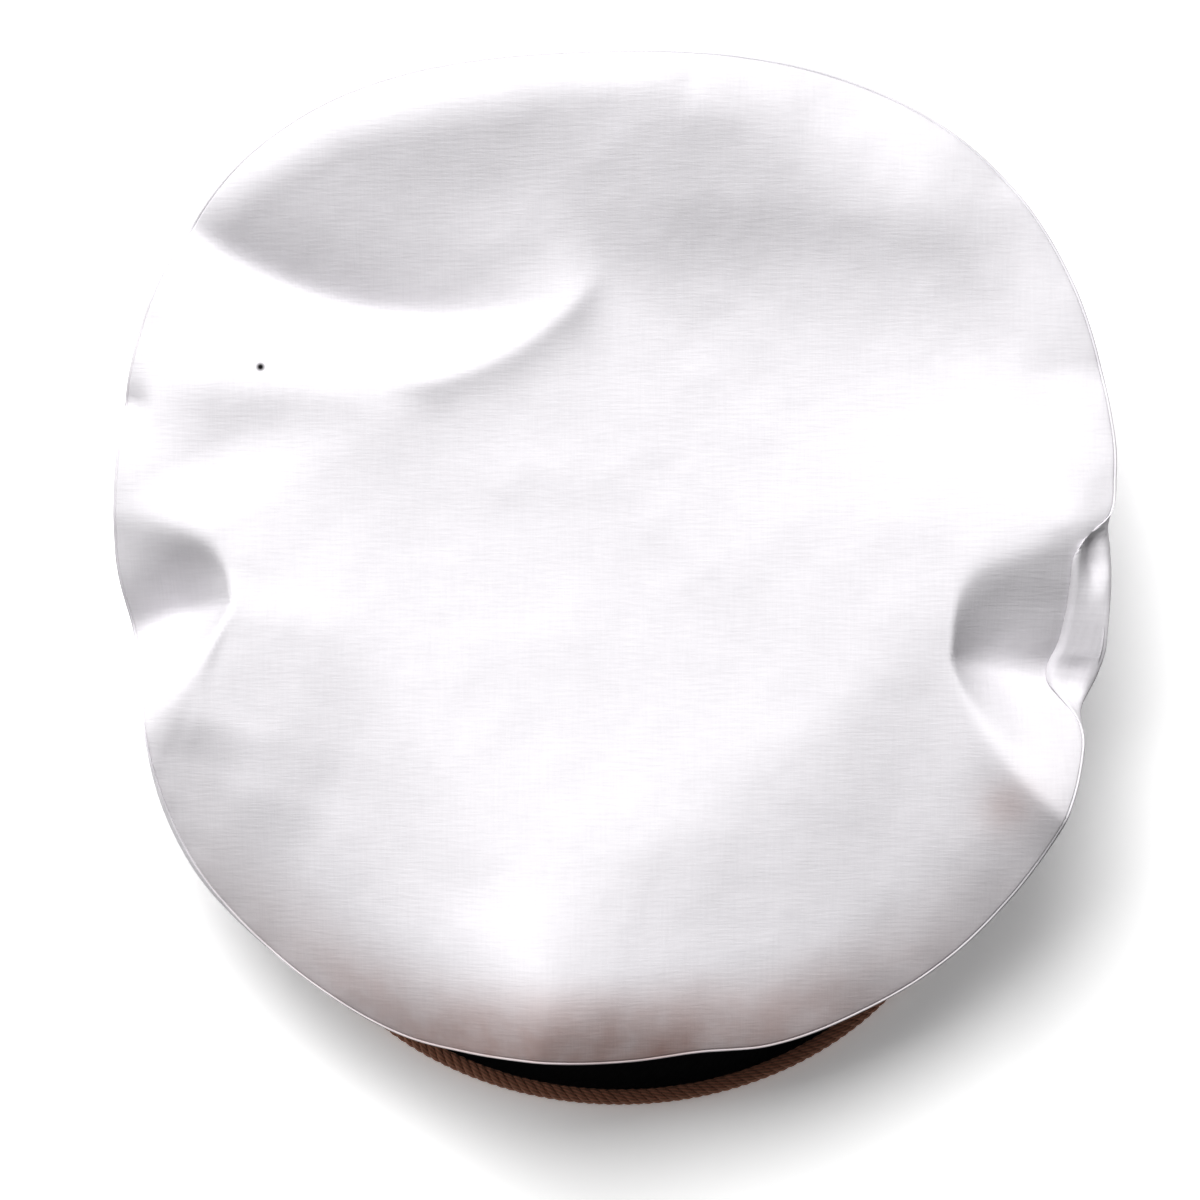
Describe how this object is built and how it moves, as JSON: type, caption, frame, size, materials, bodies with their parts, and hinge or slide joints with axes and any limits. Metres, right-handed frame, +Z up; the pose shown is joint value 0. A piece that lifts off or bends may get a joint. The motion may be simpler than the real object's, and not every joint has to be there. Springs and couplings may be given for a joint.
{
  "type": "peaked sailor hat",
  "caption": "Soft white cotton sailor hat with a wide dented crown, an upright black head band and a short black peak edged with twisted brown cord.",
  "frame": {"origin": "on the surface that the hat rests on, under the middle of its bounding box", "axes": "+Z up out of the crown, -Y towards the peak, +X to the right when the hat is seen from above with the peak towards the viewer"},
  "size_m": [0.2614, 0.28, 0.0845],
  "materials": {
    "crown_cotton": "plain-woven white cotton drill, slightly soiled at the front",
    "band_cloth": "black woven cloth",
    "peak_cloth": "matt black cloth over a stiff board",
    "cord": "brown twisted cord"
  },
  "bodies": {
    "root": {"crown_top": "crown_cotton", "crown_side": "crown_cotton", "head_band": "band_cloth", "peak": "peak_cloth", "peak_cord": "cord"}
  },
  "joints": []
}
